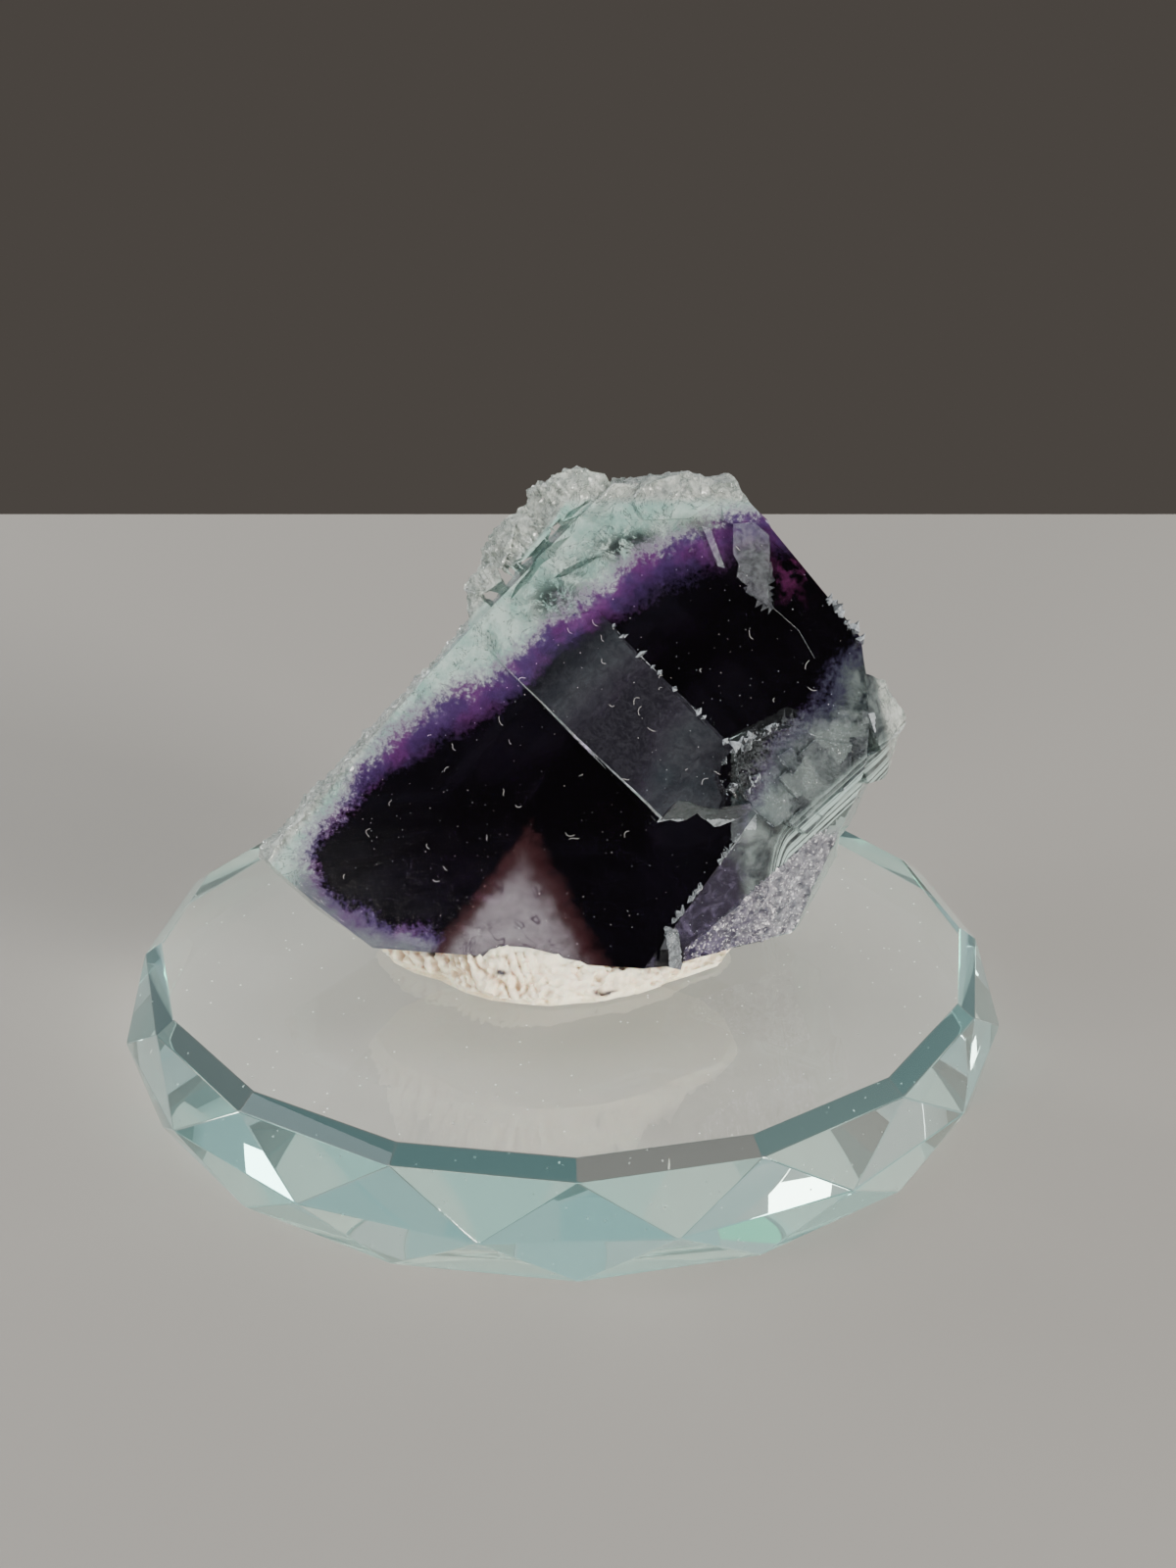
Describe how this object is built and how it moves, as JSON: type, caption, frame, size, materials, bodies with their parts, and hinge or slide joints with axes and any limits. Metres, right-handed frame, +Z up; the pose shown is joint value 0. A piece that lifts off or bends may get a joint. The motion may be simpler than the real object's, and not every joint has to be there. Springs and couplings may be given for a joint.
{
  "type": "fluorite octahedron",
  "caption": "Cleaved purple and pale green fluorite octahedron leaning on a pad of mineral tack on a clear faceted glass display disc.",
  "frame": {"origin": "middle of the glass disc's flat underside, on the surface it stands on", "axes": "+Z up, -Y towards the crystal's broad front face, +X to the right of someone looking at that face"},
  "size_m": [0.0988, 0.0988, 0.0661],
  "materials": {
    "disc_glass": "polished clear glass with a pale blue-green edge",
    "mineral_tack": "kneaded matte putty with tan streaks",
    "fluorite": "vitreous cleavage faces, near-black purple core, pale blue-green clear rim, rough lilac break"
  },
  "bodies": {
    "root": {"glass_disc": "disc_glass", "putty_pad": "mineral_tack", "fluorite_crystal": "fluorite"}
  },
  "joints": []
}
